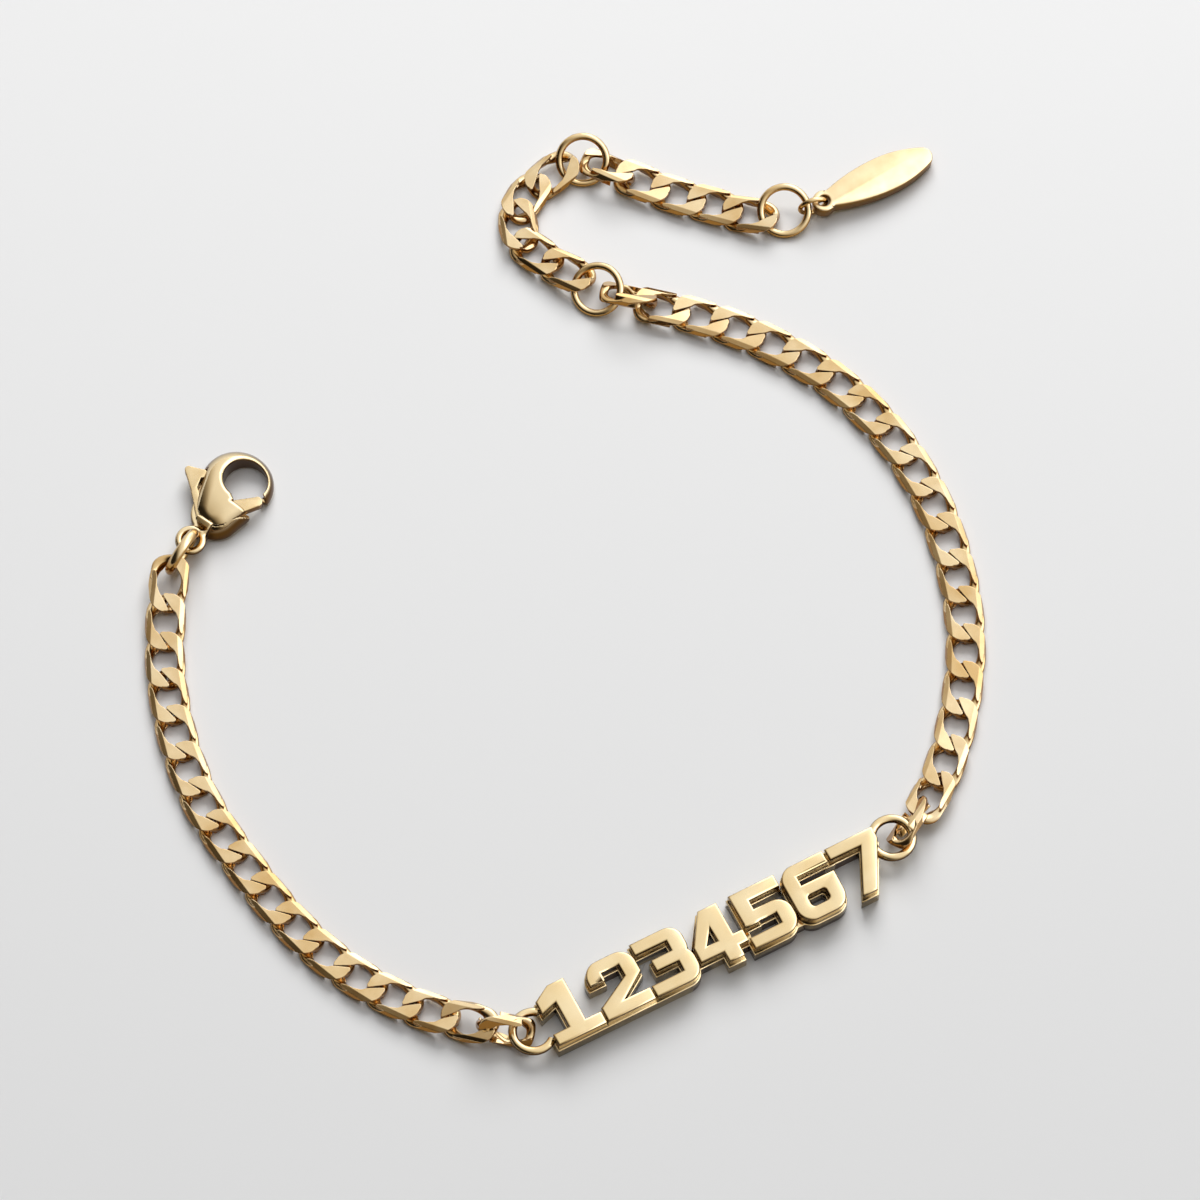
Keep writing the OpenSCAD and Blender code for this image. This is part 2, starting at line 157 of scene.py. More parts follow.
def placed(name, data):
    """An object of a mesh, lamp or camera, in the scene."""
    thing = bpy.data.objects.new(name, data)
    bpy.context.scene.collection.objects.link(thing)
    return thing


def shown(name, *parts):
    """One object of several bmesh parts, with sharp corners kept sharp."""
    whole = bmesh.new()
    for part in parts:
        mesh = bpy.data.meshes.new(name)
        part.to_mesh(mesh)
        whole.from_mesh(mesh)
    mesh = bpy.data.meshes.new(name)
    whole.to_mesh(mesh)
    mesh.set_sharp_from_angle(angle=np.radians(SHARP))
    return placed(name, mesh)


def ring_wire(outer, wire, t, around):
    """Points (c cos t, c sin t, r sin v) of a ring of round wire, with c = outer - r + r cos v. r is half
    the wire, outer the ring's outer radius, and v goes round the wire in equal steps."""
    t, v = np.meshgrid(t, np.linspace(0, 2 * np.pi, around, endpoint=False), indexing="ij")
    c = outer - wire / 2 + wire / 2 * np.cos(v)
    return np.stack([c * np.cos(t), c * np.sin(t), wire / 2 * np.sin(v)], -1)


def wire_quads(rows, around, closed):
    """Quads between neighbouring rows of points round a wire, from the last to the first too if closed."""
    i, j = np.meshgrid(np.arange(rows if closed else rows - 1), np.arange(around), indexing="ij")
    i2, j2 = (i + 1) % rows, (j + 1) % around
    return np.stack([i * around + j, i2 * around + j, i2 * around + j2, i * around + j2], -1).reshape(-1, 4)


def bent_wire(outer, wire, at, start, end, along=64, around=20):
    """Part of a ring of round wire round the point at, from start to end degrees, closed at both ends."""
    points = ring_wire(outer, wire, np.radians(np.linspace(start, end, along)), around) + at
    ends = [list(range(around)), list(range((along - 1) * around, along * around))[::-1]]
    mesh = bpy.data.meshes.new("wire")
    mesh.from_pydata(points.reshape(-1, 3) * MM, [], wire_quads(along, around, False).tolist() + ends)
    shape = bmesh.new()
    shape.from_mesh(mesh)
    bmesh.ops.recalc_face_normals(shape, faces=shape.faces)
    for face in shape.faces:
        face.smooth = len(face.verts) == 4
    return shape


def fit(piece, material, slot, body, *nodes):
    """Gives a piece its finish and its CAD body, and hides the CAD nodes that it stands for."""
    piece.data.materials.clear()
    piece.data.materials.append(material)
    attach(piece, body)
    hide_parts(*nodes)


# Plated brass under the polishing wheel: pale, mirror bright faces with slow waves, and a brown tint
# painted as shade on its walls
plate_gold = gold_plating("gold_plated_brass_polished", "#FBE6BA", "#F3D8A4", "#543713",
                          smooth=0.1, dull=0.15, cloud=3.0, grain=0.35, depth=0.0006, wave=0.05)
# The two tiers: the back's top, the numbers' top, how deep they are let into the back, and their edges
BACK, PLATE_HEIGHT, LET_IN, BACK_EDGE, NUMBER_EDGE = 1.35, 2.6, 0.05, 0.06, 0.2
# The loops: outer radius, wire, and each one's middle and the degrees that it goes from and to
LOOP, LOOP_WIRE = 2.13, 0.76
LOOPS = (([-17.5, -0.15, 1.4], 50, 310), ([17.6, 1.25, 1.4], -180, 180))
plate = shown("number_plate",
              tier(flat_sheet("nameplate", 0), 0, BACK, BACK_EDGE),
              tier(flat_sheet("nameplate", PLATE_HEIGHT), BACK - LET_IN, PLATE_HEIGHT, NUMBER_EDGE),
              *[bent_wire(LOOP, LOOP_WIRE, *loop) for loop in LOOPS])
fit(plate, plate_gold, "gold", "bracelet", "nameplate")

# Chains: curb links of round brass wire, each bent to a twisted oval, closed through its neighbour and
# soldered. The finished chain is pressed and filed flat on its two faces and on its slanting sides, which
# leaves bright flat facets beside the round wire, and is then plated.

# A link's length, and how far its long sides' middle lies from its axis
LINK_LENGTH, LINK_ROW = 5.16, 1.42
# The wire's width and height, and how much the press spreads and thins it where the links cross
WIRE, WIRE_HEIGHT, SPREAD, THIN = 0.76, 1.0, 0.14, 0.12
# How far the wire rises and falls, how abruptly, and the degrees over which a side's ridge fades
TWIST, STEP, RIDGE_REACH = 0.46, 2.0, 30.0
# The pressed chain's height and width, how far in from its sides the flat top ends, and the height above
# its middle where the chamfer between that and the side ends
CHAIN_HEIGHT, SIDE_WIDTH, CHAMFER, SHOULDER = 1.2, 3.5, 0.55, 0.42
# Corners of the pressed face at the end of a link's high side, in a link of the run and in a slimmer one
# that tips at the chain's ends
RUN_FACE = [[0.3, -1.5], [1.45, -1.55], [1.9, -1.3], [2.25, -0.87], [2.45, -0.42], [2.53, 0.05],
            [2.46, 0.25], [2.33, 0.31], [2.2, 0.23], [1.06, -0.53], [0.85, -0.82], [0.5, -1.02],
            [0.2, -1.12]]
TIPPED_FACE = [[0.3, -1.5], [1.45, -1.5], [1.9, -1.2], [2.2, -0.85], [2.38, -0.42], [2.42, -0.05],
               [2.35, 0.12], [2.2, 0.1], [1.1, -0.64], [0.85, -0.88], [0.5, -1.05], [0.2, -1.12]]
# Corners of the narrow face that runs on along a link's high side, and the lowest level of its wall
STRIP_FACE = [[-1.02, -1.42], [-0.9, -1.55], [0.6, -1.55], [0.6, -1.08], [0.1, -1.12], [-0.5, -1.2],
              [-0.9, -1.3]]
STRIP_BOTTOM = -0.12
# A link looks the same after half a turn about each of its axes
HALF_TURNS = ((1, 1, 1), (1, -1, -1), (-1, 1, -1), (-1, -1, 1))
# Half length of the bar that a link is filed to, longer than any link
BAR_REACH = 4.0
# Points along and round the wire of a link
LINK_ALONG, LINK_AROUND = 72, 32
# The cosine between two normals above which they are parallel, and the |z| of one below which its face
# is a wall
PARALLEL, UPRIGHT = 0.99999, 0.0001
# Links that roll by this many degrees or more are the slimmer ones
TIPPED_ROLL = 8


def twisted_oval(along, around, ridge, square):
    """Closed tube round an oval. Its centre is (a cos t, LINK_ROW sin t, -TWIST tanh(STEP sin 2t) / tanh
    STEP) with a half of LINK_LENGTH less WIRE. Its section is an oval along the centre line's outward
    normal and +Z, of half width WIRE / 2 + SPREAD sin(2t) squared and half height WIRE_HEIGHT / 2 - THIN
    sin(2t) squared, with cos and sin to the power square. With q the angle from the link's end, the long
    sides stand higher by exp(-((90 - q) / RIDGE_REACH) squared) times the ridge."""
    t, v = np.meshgrid(np.linspace(0, 2 * np.pi, along, endpoint=False),
                       np.linspace(0, 2 * np.pi, around, endpoint=False), indexing="ij")
    a = (LINK_LENGTH - WIRE) / 2
    out = np.stack([LINK_ROW * np.cos(t), a * np.sin(t), 0 * t], -1)
    out /= np.linalg.norm(out, axis=-1, keepdims=True)
    across, up = (np.sign(f) * np.abs(f) ** square for f in (np.cos(v), np.sin(v)))
    from_end = np.degrees(np.arctan2(np.abs(np.sin(t)), np.abs(np.cos(t))))
    wide = (WIRE / 2 + SPREAD * np.sin(2 * t) ** 2) * across
    rise = ridge * np.exp(-((90 - from_end) / RIDGE_REACH) ** 2)
    high = (WIRE_HEIGHT / 2 - THIN * np.sin(2 * t) ** 2 + rise) * up
    centre = np.stack([a * np.cos(t), LINK_ROW * np.sin(t),
                       -TWIST * np.tanh(STEP * np.sin(2 * t)) / np.tanh(STEP)], -1)
    return centre + out * wide[..., None] + np.array([0, 0, 1.0]) * high[..., None]


def closed_grid(name, points):
    """Mesh of a grid of points in mm that is closed both ways, as on a torus, with smooth shading."""
    quads = wire_quads(*points.shape[:2], True)
    mesh = bpy.data.meshes.new(name)
    mesh.from_pydata(points.reshape(-1, 3) * MM, [], quads)
    mesh.polygons.foreach_set("use_smooth", np.ones(len(quads), dtype=bool))
    return mesh


def prism(outline, start, end, normal, turn=(1, 1, 1)):
    """Solid between two copies of a closed outline, at start and end mm along the axis numbered normal,
    with its coordinates times the three signs of turn."""
    n = len(outline)
    points = np.vstack([np.insert(outline, normal, x, axis=1) for x in (start, end)]) * turn
    walls = [[k, (k + 1) % n, n + (k + 1) % n, n + k] for k in range(n)]
    mesh = bpy.data.meshes.new("prism")
    mesh.from_pydata(points * MM, [], [list(range(n))[::-1], list(range(n, 2 * n))] + walls)
    return mesh


def pared(corners):
    """Outline with its corners cut, each at a quarter of its two sides, twice over."""
    for _ in range(2):
        here, ahead = np.array(corners), np.roll(corners, -1, axis=0)
        corners = np.stack([0.75 * here + 0.25 * ahead, 0.25 * here + 0.75 * ahead], 1).reshape(-1, 2)
    return corners


def read(items, name, width):
    """Values of a mesh collection as rows of width numbers."""
    values = np.empty(len(items) * width, dtype=np.float64 if width > 1 else np.int64)
    items.foreach_get(name, values)
    return values.reshape(-1, width)


def filed_link(face, bottom, ridge, square, lean):
    """The twisted oval with its four pressed faces and strips, each from its bottom up to the top and the
    same turned over, kept inside a ten sided bar, which is what filing leaves of the wire. The bar's upper
    half is its flat top, a chamfer down to SHOULDER and a side that leans out from there by lean degrees
    to the full width at middle height, and its lower half is the same. New facets are flat."""
    wire = placed("wire", closed_grid("wire", twisted_oval(LINK_ALONG, LINK_AROUND, ridge, square)))
    tools = []
    for name, outline, low in (("pressed", face, bottom), ("strips", STRIP_FACE, STRIP_BOTTOM)):
        shape = bmesh.new()
        for turn in HALF_TURNS:
            shape.from_mesh(prism(pared(outline), low, CHAIN_HEIGHT, 2, turn))
        mesh = bpy.data.meshes.new(name)
        shape.to_mesh(mesh)
        tools.append(placed(name, mesh))
    side = np.array([[SIDE_WIDTH / 2 - CHAMFER, CHAIN_HEIGHT / 2],
                     [SIDE_WIDTH / 2 - SHOULDER * np.tan(np.radians(lean)), SHOULDER], [SIDE_WIDTH / 2, 0]])
    right = np.vstack([side, side[1::-1] * [1, -1]])
    bar = np.vstack([right, -right])
    tools.append(placed("bar", prism(bar, -BAR_REACH, BAR_REACH, 0)))
    for tool, operation in zip(tools, ("UNION", "UNION", "INTERSECT")):
        cut = wire.modifiers.new("filing", "BOOLEAN")
        cut.object, cut.operation, cut.solver, cut.use_self = tool, operation, "EXACT", True
    bpy.context.view_layer.update()
    mesh = bpy.data.meshes.new_from_object(wire.evaluated_get(bpy.context.evaluated_depsgraph_get()))
    out = (np.roll(bar, -1, axis=0) - bar)[:, ::-1] * [1, -1]
    out = np.insert(out / np.linalg.norm(out, axis=1, keepdims=True), 0, 0, axis=1)
    normal = read(mesh.polygons, "normal", 3)
    facet = (np.abs(normal @ out.T).max(1) > PARALLEL) | (np.abs(normal[:, 2]) < UPRIGHT)
    mesh.polygons.foreach_set("use_smooth", ~facet)
    for part in [wire] + tools:
        bpy.data.objects.remove(part)
    return mesh


def turned(roll, tip, heading):
    """Rotation Rz(heading) Ry(-tip) Rx(roll), in degrees."""
    r, p, h = np.radians([roll, -tip, heading])
    about_x = np.array([[1, 0, 0], [0, np.cos(r), -np.sin(r)], [0, np.sin(r), np.cos(r)]])
    about_y = np.array([[np.cos(p), 0, np.sin(p)], [0, 1, 0], [-np.sin(p), 0, np.cos(p)]])
    about_z = np.array([[np.cos(h), -np.sin(h), 0], [np.sin(h), np.cos(h), 0], [0, 0, 1]])
    return about_z @ about_y @ about_x


def poses(row):
    """Place and rotation of every link of a row of x, y, z, roll and sometimes tip and heading. Where they
    aren't given, the link looks from the point before it to the point after it."""
    found = []
    for k, place in enumerate(row):
        d = np.subtract(row[min(k + 1, len(row) - 1)][:3], row[max(k - 1, 0)][:3])
        look = place[4:] or np.degrees([np.arctan2(d[2], np.hypot(d[0], d[1])), np.arctan2(d[1], d[0])])
        found.append((np.array(place[:3]), turned(place[3], *look)))
    return found


def chain(name, row):
    """One mesh that holds a link at every place of the row: each point p goes to place + R p. Links that
    have a tip of their own or roll by TIPPED_ROLL or more are the slimmer ones, and none goes below the
    surface that the chain lies on."""
    points, corners, starts, smooth = [np.empty((0, 3))], [], [], []
    for spot, (place, r) in zip(row, poses(row)):
        link = tipped_link if len(spot) > 4 or abs(spot[3]) >= TIPPED_ROLL else run_link
        here = place * MM + read(link.vertices, "co", 3) @ r.T
        here[:, 2] -= min(here[:, 2].min(), 0)
        corners.append(read(link.loops, "vertex_index", 1)[:, 0] + sum(len(p) for p in points))
        starts.append(read(link.polygons, "loop_start", 1)[:, 0] + sum(len(c) for c in corners[:-1]))
        smooth.append(read(link.polygons, "use_smooth", 1)[:, 0].astype(bool))
        points.append(here)
    mesh = bpy.data.meshes.new(name)
    mesh.vertices.add(sum(len(p) for p in points))
    mesh.vertices.foreach_set("co", np.concatenate(points).ravel())
    mesh.loops.add(sum(len(c) for c in corners))
    mesh.loops.foreach_set("vertex_index", np.concatenate(corners))
    mesh.polygons.add(sum(len(f) for f in starts))
    mesh.polygons.foreach_set("loop_start", np.concatenate(starts))
    mesh.polygons.foreach_set("use_smooth", np.concatenate(smooth))
    mesh.update(calc_edges=True)
    return placed(name, mesh)


run_link = filed_link(RUN_FACE, bottom=0.32, ridge=0.12, square=0.8, lean=20)
tipped_link = filed_link(TIPPED_FACE, bottom=0.34, ridge=0.0, square=1.0, lean=28)
# Plated brass off the file: flats that shine in slow waves, and a deeper gold painted as shade on the steep
# sides between them
chain_gold = gold_plating("gold_plated_curb_chain", "#F8E2B8", "#DDB980", "#9A6C30",
                          smooth=0.08, dull=0.14, cloud=3.6, grain=0.3, depth=0.0006, wave=0.2)
CLASP_ROW = [
    [-26.61, 50.54, 1.48, -15, -15, -124], [-28.39, 47.64, 0.91, -3], [-29.98, 44.55, 0.68, 2],
    [-31.15, 41.48, 0.63, 1], [-32.08, 38.12, 0.62, 1], [-32.69, 34.67, 0.62, 1], [-32.95, 31.2, 0.61, 0],
    [-32.73, 27.74, 0.61, 0], [-32.25, 24.3, 0.62, 0], [-31.7, 20.9, 0.62, 0], [-30.9, 17.5, 0.62, 0],
    [-29.78, 14.22, 0.62, 0], [-28.27, 11.08, 0.62, 0], [-26.42, 8.19, 0.65, -1], [-24.3, 5.55, 0.8, -1],
    [-21.89, 3.11, 1.25, 12, 10, -44], [-19.53, 0.98, 1.6, 65, -17, -35]]
LONG_ROW = [
    [19.6, 1.65, 1.62, -62, -3, 30], [22.39, 3.21, 1.03, -8], [25.03, 5.41, 0.75, -2],
    [27.4, 7.95, 0.67, 3], [29.5, 10.64, 0.63, 1], [31.37, 13.53, 0.63, 1], [32.9, 16.67, 0.63, 1],
    [34.06, 19.96, 0.62, 0], [34.92, 23.35, 0.62, 0], [35.46, 26.8, 0.62, 0], [35.57, 30.3, 0.62, 0],
    [35.3, 33.79, 0.62, 0], [34.62, 37.22, 0.62, 0], [33.54, 40.53, 0.63, 1], [32.05, 43.66, 0.62, 0],
    [30.2, 46.6, 0.62, 0], [28.13, 49.34, 0.67, 1], [25.79, 51.81, 0.77, 3], [23.22, 54.1, 0.9, 7, 4, 141],
    [21.02, 56.22, 1.45, 48, -1, 139]]
EXTENDER_ROW_1 = [
    [17.45, 60.95, 1.05, 0, -5, 124], [15.9, 63.84, 0.85, -3, -3, 115], [15.7, 66.9, 0.8, 0, -4, 70],
    [17.6, 69.1, 0.75, 3, -1, 30], [20.6, 69.9, 0.95, 5, 7, 10]]
EXTENDER_ROW_2 = [
    [25.1, 68, 1.15, -29, 4, -55], [27.25, 65.55, 0.85, -3], [29.46, 63.05, 0.7, -1],
    [31.88, 60.69, 0.68, -1], [34.2, 58.45, 0.85, -1, 6, -38]]
for name, row in (("clasp_chain", CLASP_ROW), ("long_chain", LONG_ROW),
                  ("extender_chain_1", EXTENDER_ROW_1), ("extender_chain_2", EXTENDER_ROW_2)):
    fit(chain("curb_" + name, row), chain_gold, "gold", "bracelet", name)

# Jump rings: round brass wire coiled, sawn off turn by turn, closed and soldered, then plated with the
# rest. Three sizing rings of one size, a stout one for the clasp and a small one for the tag.

# Plated drawn wire: a smooth mirror, drawn out in lines of light along the ring, with a darker gold painted
# as shade where its wire stands upright
ring_gold = gold_plating("gold_plated_jump_ring_wire", "#FBE6BC", "#ECCD98", "#B08340",
                         smooth=0.1, dull=0.16, cloud=2.0, grain=0.25, depth=0.0006)
# Each ring's outer diameter, its wire, and its place, roll, tip and heading
RINGS = {
    "sizing_ring_1": (4.8, 0.65, [18.96, 58.21, 1.16, 9, 22, 3]),
    "sizing_ring_2": (4.8, 0.65, [23.5, 69.7, 1.45, 29, 16, -2]),
    "end_ring": (4.8, 0.65, [36.95, 57.3, 1.25, 18, 19, 11]),
    "tag_ring": (2.76, 0.44, [39.35, 56.5, 1.39, 88, 2, -11]),
    "clasp_ring": (4.6, 0.88, [-24.38, 52.36, 2.28, -81, 4, 30])}
RING_ALONG, RING_AROUND = 96, 24
for name, (size, wire, at) in RINGS.items():
    points = ring_wire(size / 2, wire, np.linspace(0, 2 * np.pi, RING_ALONG, endpoint=False), RING_AROUND)
    mesh = closed_grid("round_" + name, points @ turned(*at[3:]).T + at[:3])
    fit(placed("round_" + name, mesh), ring_gold, "gold", "bracelet", name)

# Tag: a surfboard shaped drop, stamped from brass sheet with a small eye, tumbled to a satin face and
# plated. Its face is bare.

# Degrees within which neighbouring faces count as one plane
SAME_PLANE = 0.5
# Width in mm of the edge that tumbling rounds on the tag, how many steps draw a rounded edge, and the
# degrees from which an edge is sharp enough to be rounded
TAG_EDGE, EDGE_STEPS, EDGE_ANGLE = 0.22, 4, 35


def merged_copy(node, name):
    """The node's loose triangles as one closed mesh, with its flat areas made whole again."""
    shape = bmesh.new()
    shape.from_mesh(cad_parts[node].data)
    bmesh.ops.remove_doubles(shape, verts=shape.verts, dist=SAME_POINT * MM)
    bmesh.ops.dissolve_limit(shape, angle_limit=np.radians(SAME_PLANE), verts=shape.verts,
                             edges=shape.edges)
    for face in shape.faces:
        face.smooth = True
    mesh = bpy.data.meshes.new(name)
    shape.to_mesh(mesh)
    return placed(name, mesh)


def soften(piece, width):
    """Rounds the piece's sharp edges over width mm."""
    bevel = piece.modifiers.new("polished_edges", "BEVEL")
    bevel.width = width * MM
    bevel.segments = EDGE_STEPS
    bevel.limit_method = "ANGLE"
    bevel.angle_limit = np.radians(EDGE_ANGLE)
    bevel.harden_normals = True
    bevel.miter_outer = "MITER_ARC"


# Plated brass that was tumbled: a satin face that spreads its highlight, with a brown tint painted as shade
# on its upright edges
tag_gold = gold_plating("gold_plated_tag_satin", "#FBE8BE", "#F1D6A6", "#8A6228",
                        smooth=0.28, dull=0.36, cloud=1.5, grain=0.08, depth=0.0015, wave=0.02)
tag = merged_copy("tag", "marquise_tag")
soften(tag, TAG_EDGE)
fit(tag, tag_gold, "satin_gold", "bracelet", "tag")

# Clasp: a lobster claw cast in brass as one body with its hook and eye. A stamped lever with a thumb tab
# and a gate turns on a rivet between its two cheeks. Body and lever are polished and plated.

# Plated brass castings, polished by hand: the smoothest mirror of all, with a brown tint painted as shade
# on its walls
clasp_gold = gold_plating("gold_plated_cast_clasp", "#FBE6BC", "#F3DAAA", "#5A3C16",
                          smooth=0.07, dull=0.11, cloud=3.0, grain=0.5, depth=0.0005)
# Plated brass sheet, brushed: a duller sheen beside the body's mirror, with a brown tint painted as shade
# on its upright edges
lever_gold = gold_plating("gold_plated_lever_brushed", "#F6E0B4", "#E6CA98", "#7A5626",
                          smooth=0.22, dull=0.3, cloud=1.5, grain=0.1, depth=0.001)
# Where the middle of the clasp's eye stands and the heading of its hook. The sizes that follow are in mm
# from the eye, with +X towards the hook
CLASP_AT, CLASP_TURN = np.array([-23.1, 53.3, 0]), 27
# Thickness at the middle, height of the middle plane, and the radius and crest of the domed back
CLASP_THICK, MIDDLE, DOME, DOME_AT = 2.9, 1.45, 9.0, [5.4, 0]
# The circles of the foot and the hook that the pear outline goes round, each with its radius
FOOT_AT, FOOT, HOOK_AT, HOOK = np.array([3.3, -0.2]), 2.2, np.array([6.75, 0]), 3.2
# The mouth: its circle, and from the circle's middle the corners of its straight sided part and opening
MOUTH_AT, MOUTH = np.array([7.1, -0.65]), 1.9
MOUTH_CORNERS = [[[-0.82, 1.75], [-2.25, -0.45], [-1.5, -1.35], [1.1, -1.35], [1.1, 1.15]],
                 [[-2.4, -0.35], [-2.1, -2.75], [-0.35, -2.95], [-0.55, -1.65], [0, -1.25]]]
# The rivet's middle, the radii of the hollows round the lever's hub and the rivet, and the half heights of
# the rivet's hole and the slot
PIVOT, HUB_ROOM, PIN_ROOM, PIN_HALF, SLOT_HALF = np.array([3.3, -0.3]), 1.37, 0.41, 1.0, 0.53
# Corners of the slot's room for the gate and for the tab, from the rivet
SLOT_CORNERS = [[[-0.6, -1.0], [2.3, -3.05], [3.2, -3.3], [4.2, -1.2], [2.4, 1.2]],
                [[0.9, 0.9], [2.85, 2.5], [2.9, 3.7], [0.4, 5.2], [-4.4, 2.6], [-1.9, -0.35]]]
# The eye's outer radius and its wire, and the neck's middle and half size
EYE, EYE_WIRE, NECK_AT, NECK_HALF = 1.36, 0.66, [1.5, 0], [0.6, 0.8]
# Radii that casting and polishing leave on the edges
TOP_ROUND, BOTTOM_ROUND, MOUTH_ROUND, SLOT_ROUND, NECK_ROUND = 1.6, 0.6, 0.35, 0.05, 0.15
# The box round the body and the grid's step for its skin
CLAW_LOW, CLAW_HIGH, CLAW_STEP = [-1.6, -3.5, -0.2], [10.2, 3.5, 3.1], 0.08
# The rounds that settle the skin, the distance over which they read the slope, and its least square
SETTLING, NUDGE, LEAST_SLOPE = 4, 0.01, 0.25


def disc(p, centre, radius):
    """Distance from each point to a circle's line, negative inside."""
    return np.linalg.norm(p[:, :2] - centre, axis=1) - radius


def outline(p, corners):
    """Distance from each point to a polygon's line, negative inside."""
    p, far, inside = p[:, :2], np.full(len(p), np.inf), np.zeros(len(p), dtype=bool)
    for a, b in zip(corners, np.roll(corners, -1, axis=0)):
        edge, off = b - a, p - a
        along = np.clip(off @ edge / (edge @ edge), 0, 1)
        far = np.minimum(far, np.linalg.norm(off - along[:, None] * edge, axis=1))
        crosses = (a[1] > p[:, 1]) != (b[1] > p[:, 1])
        inside ^= crosses & (off[:, 0] < off[:, 1] * edge[0] / (edge[1] if edge[1] else 1.0))
    return np.where(inside, -far, far)


def pear(p):
    """Distance to the straight sided outline round the foot's circle and the hook's, negative inside."""
    axis = HOOK_AT - FOOT_AT
    length = np.linalg.norm(axis)
    along = (p[:, :2] - FOOT_AT) @ axis / length
    across = np.abs((p[:, :2] - FOOT_AT) @ np.array([-axis[1], axis[0]]) / length)
    lean = (FOOT - HOOK) / length
    upright = np.sqrt(1 - lean ** 2)
    reach = upright * along - lean * across
    return np.select([reach < 0, reach > upright * length],
                     [np.hypot(along, across) - FOOT, np.hypot(along - length, across) - HOOK],
                     upright * across + lean * along - FOOT)


def both(a, b, radius):
    """Distance to what lies in both shapes, with the edge where they meet rounded to a radius."""
    corner = np.hypot(np.maximum(a + radius, 0), np.maximum(b + radius, 0))
    return np.minimum(np.maximum(a, b), -radius) + corner


def claw(p):
    """Distance to the clasp body: the domed pear less its mouth, slot and rivet hole, joined to the eye."""
    z = p[:, 2]
    dome = np.sqrt(((p[:, :2] - DOME_AT) ** 2).sum(1) + (z - CLASP_THICK + DOME) ** 2) - DOME
    body = both(both(pear(p), dome, TOP_ROUND), -z, BOTTOM_ROUND)
    neck = np.abs(p[:, :2] - NECK_AT) - NECK_HALF
    neck = both(both(neck.max(1), dome, NECK_ROUND), -z, NECK_ROUND)
    gaps = [outline(p, MOUTH_AT + corners) for corners in MOUTH_CORNERS]
    mouth = np.minimum.reduce([disc(p, MOUTH_AT, MOUTH)] + gaps)
    body = both(np.minimum(body, neck), -mouth, MOUTH_ROUND)
    rooms = [outline(p, PIVOT + corners) for corners in SLOT_CORNERS]
    slot = np.minimum.reduce([disc(p, PIVOT, HUB_ROOM)] + rooms)
    slot = np.maximum(slot, np.abs(z - MIDDLE) - SLOT_HALF)
    hole = np.maximum(disc(p, PIVOT, PIN_ROOM), np.abs(z - MIDDLE) - PIN_HALF)
    body = both(body, -np.minimum(slot, hole), SLOT_ROUND)
    eye_line = disc(p, [0, 0], EYE - EYE_WIRE / 2)
    body = both(body, -eye_line, SLOT_ROUND)
    eye = np.hypot(eye_line, z - MIDDLE) - EYE_WIRE / 2
    return -both(-body, -eye, NECK_ROUND)


def skin(name, distance, low, high, step):
    """Quads along the surface where the distance is zero, from a grid of cubes: a point in each cube that
    the surface crosses, first at the mean of the crossings on its sides and then moved onto the surface,
    and a quad round each side that it crosses. The surface's outside is where the distance is positive."""
    ticks = [np.arange(a, b + step, step) for a, b in zip(low, high)]
    grid = np.stack(np.meshgrid(*ticks, indexing="ij"), -1)
    value = distance(grid.reshape(-1, 3)).reshape(grid.shape[:3])
    total, count, quads = np.zeros(grid.shape), np.zeros(grid.shape[:3]), []
    number = np.arange(value.size).reshape(value.shape)
    for axis in range(3):
        near, ahead = np.moveaxis(value, axis, 0)[:-1], np.moveaxis(value, axis, 0)[1:]
        at = np.argwhere((near < 0) != (ahead < 0))
        first, second = near[tuple(at.T)], ahead[tuple(at.T)]
        at = np.insert(at[:, 1:], axis, at[:, 0], axis=1)
        point = grid[tuple(at.T)]
        point[:, axis] += step * first / (first - second)
        u, w = np.eye(3, dtype=int)[(axis + 1) % 3], np.eye(3, dtype=int)[(axis + 2) % 3]
        around = [at - u - w, at - w, at, at - u]
        for cube in around:
            np.add.at(total, tuple(cube.T), point)
            np.add.at(count, tuple(cube.T), 1)
        round_trip = np.stack([number[tuple(cube.T)] for cube in around], -1)
        quads.append(np.where((first < 0)[:, None], round_trip, round_trip[:, ::-1]))
    quads = np.vstack(quads)
    used, quads = np.unique(quads, return_inverse=True)
    points = (total.reshape(-1, 3) / np.maximum(count.reshape(-1, 1), 1))[used]
    for _ in range(SETTLING):
        here = distance(points)
        slope = np.stack([distance(points + d) - here for d in NUDGE * np.eye(3)], -1) / NUDGE
        move = here[:, None] * slope / np.maximum((slope ** 2).sum(1, keepdims=True), LEAST_SLOPE)
        points = points - np.clip(move, -step / 2, step / 2)
    mesh = bpy.data.meshes.new(name)
    mesh.from_pydata(points, [], quads.reshape(-1, 4))
    return mesh


claw_mesh = skin("claw_body", claw, CLAW_LOW, CLAW_HIGH, CLAW_STEP)
points = read(claw_mesh.vertices, "co", 3) @ turned(0, 0, CLASP_TURN).T + CLASP_AT
claw_mesh.vertices.foreach_set("co", (points * MM).ravel())
claw_mesh.polygons.foreach_set("use_smooth", np.ones(len(claw_mesh.polygons), dtype=bool))
fit(placed("claw_body", claw_mesh), clasp_gold, "gold", "bracelet", "clasp_body")
LEVER_EDGE = 0.2
lever = merged_copy("clasp_lever", "thumb_lever")
soften(lever, LEVER_EDGE)
fit(lever, lever_gold, "gold", "lever", "clasp_lever")
# The rivet keeps its CAD shape and gets the lever's finish
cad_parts["clasp_pin"].data.materials.clear()
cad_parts["clasp_pin"].data.materials.append(lever_gold)

# Stand: a pale matt board under two soft lamps behind the bracelet. The metal mirrors a dome in the lamps'
# place, which is bright towards the picture's upper right and dark and warm towards its lower left, as a
# room is on the side away from its window.

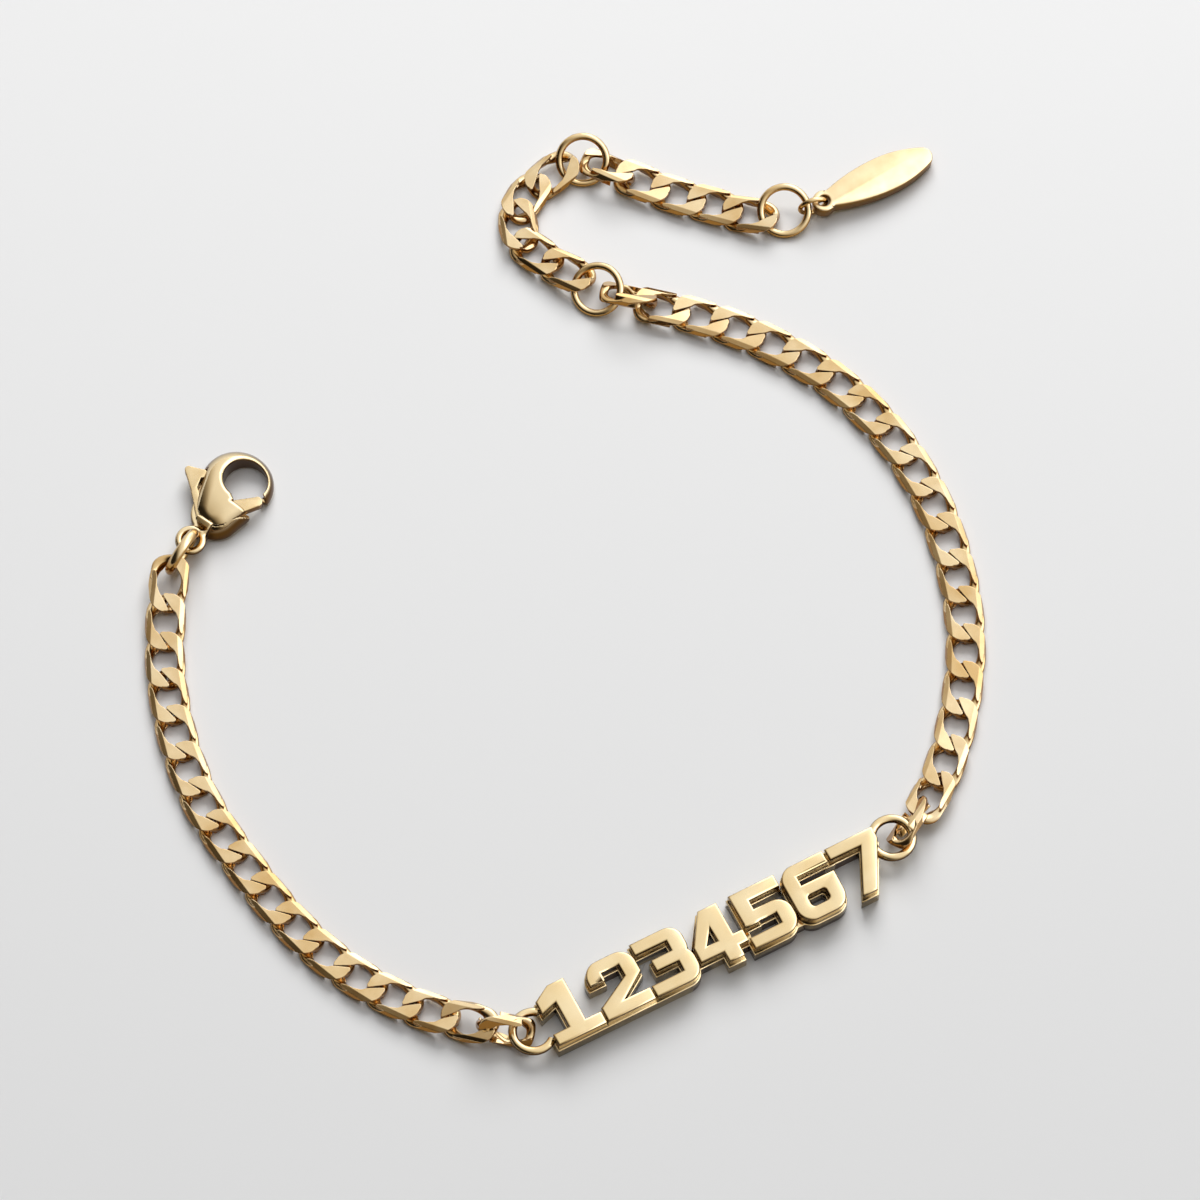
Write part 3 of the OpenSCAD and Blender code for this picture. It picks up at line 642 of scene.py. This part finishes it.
FLOOR_HALF = 3000
floor_mesh = bpy.data.meshes.new("floor")
floor_points = np.array([[-1, -1, 0], [1, -1, 0], [1, 1, 0], [-1, 1, 0]]) * FLOOR_HALF * MM
floor_mesh.from_pydata(floor_points, [], [[0, 1, 2, 3]])
floor = placed("floor", floor_mesh)
board = bpy.data.materials.new("matt_white_board")
board.use_nodes = True
shader = board.node_tree.nodes["Principled BSDF"]
shader.inputs["Base Color"].default_value = linear("#E6E6E6")
shader.inputs["Roughness"].default_value = 0.7
shader.inputs["Specular IOR Level"].default_value = 0.2
floor.data.materials.append(board)

# The point in mm that lamps and camera look at
TARGET = np.array([5.9, 32.6, 0])


def toward(azimuth, elevation):
    """Unit vector (sin a cos e, cos a cos e, sin e), with the azimuth a clockwise from +Y, in degrees."""
    a, e = np.radians([azimuth, elevation])
    return np.array([np.sin(a) * np.cos(e), np.cos(a) * np.cos(e), np.sin(e)])


def aim(thing, azimuth, elevation, distance):
    """Puts a light or camera at distance mm from the target on that side, looking at it."""
    back = toward(azimuth, elevation)
    right = np.array([-np.cos(np.radians(azimuth)), np.sin(np.radians(azimuth)), 0])
    matrix = np.eye(4)
    matrix[:3, :4] = np.column_stack([right, np.cross(back, right), back, (TARGET + back * distance) * MM])
    thing.matrix_world = matrix.T.tolist()
    return thing


def soft_light(name, azimuth, elevation, distance, width, height, power):
    """Rectangular area light of width by height mm and power watts, which reflections don't show."""
    lamp = bpy.data.lights.new(name, "AREA")
    lamp.shape = "RECTANGLE"
    lamp.size, lamp.size_y = width * MM, height * MM
    lamp.energy = power
    thing = aim(placed(name, lamp), azimuth, elevation, distance)
    thing.visible_glossy = False


soft_light("window", azimuth=35, elevation=42, distance=650, width=500, height=400, power=4.3)
soft_light("ceiling", azimuth=35, elevation=80, distance=900, width=900, height=900, power=4.2)

# The side where the dome is brightest, and pairs of the cosine of the angle from it and the light there
BRIGHT_END = toward(85, 10)
DOME_LIGHT = ((-0.6, 0.02), (-0.5, 0.06), (-0.4, 0.18), (-0.28, 0.36), (-0.1, 0.65), (0.1, 0.84),
              (0.36, 0.96), (0.45, 1.05), (0.56, 1.9), (0.77, 2.6), (1.0, 3.0))
# Tint of the dome where it gives no light, which turns to white where its light is 1
DUSK = np.array([1.0, 0.78, 0.5])
world = bpy.data.worlds.new("studio_dome")
world.use_nodes = True
tree = world.node_tree
direction = add(tree, "ShaderNodeTexCoord").outputs["Generated"]
facing = add(tree, "ShaderNodeVectorMath", {1: tuple(BRIGHT_END)}, {0: direction}, operation="DOT_PRODUCT")
# A colour ramp runs from 0 to 1, so a cosine c stands at (c + 1) / 2
height = add(tree, "ShaderNodeMath", {1: 0.5, 2: 0.5}, {0: facing.outputs["Value"]},
             operation="MULTIPLY_ADD")
glow = add(tree, "ShaderNodeValToRGB", links={"Fac": height.outputs["Value"]})
stops = glow.color_ramp.elements
for cosine, light in DOME_LIGHT:
    stops.new((cosine + 1) / 2).color = (*(light * DUSK ** max(1 - light, 0)), 1)
for spare in (0, -1):
    stops.remove(stops[spare])
tree.links.new(glow.outputs["Color"], tree.nodes["Background"].inputs["Color"])
tree.nodes["Background"].inputs["Strength"].default_value = 1.0
world.cycles_visibility.diffuse = False
bpy.context.scene.world = world

# The camera's sensor and its distance in mm, and the width in mm that fills the picture at that distance
SENSOR, CAMERA_DISTANCE, FRAME_WIDTH = 36, 800, 103.4
lens = bpy.data.cameras.new("camera")
lens.sensor_width = SENSOR
lens.lens = SENSOR * CAMERA_DISTANCE / FRAME_WIDTH
lens.clip_end = 10
camera = aim(placed("camera", lens), azimuth=207.5, elevation=68, distance=CAMERA_DISTANCE)
bpy.context.scene.camera = camera
bpy.context.scene.view_settings.view_transform = "Standard"
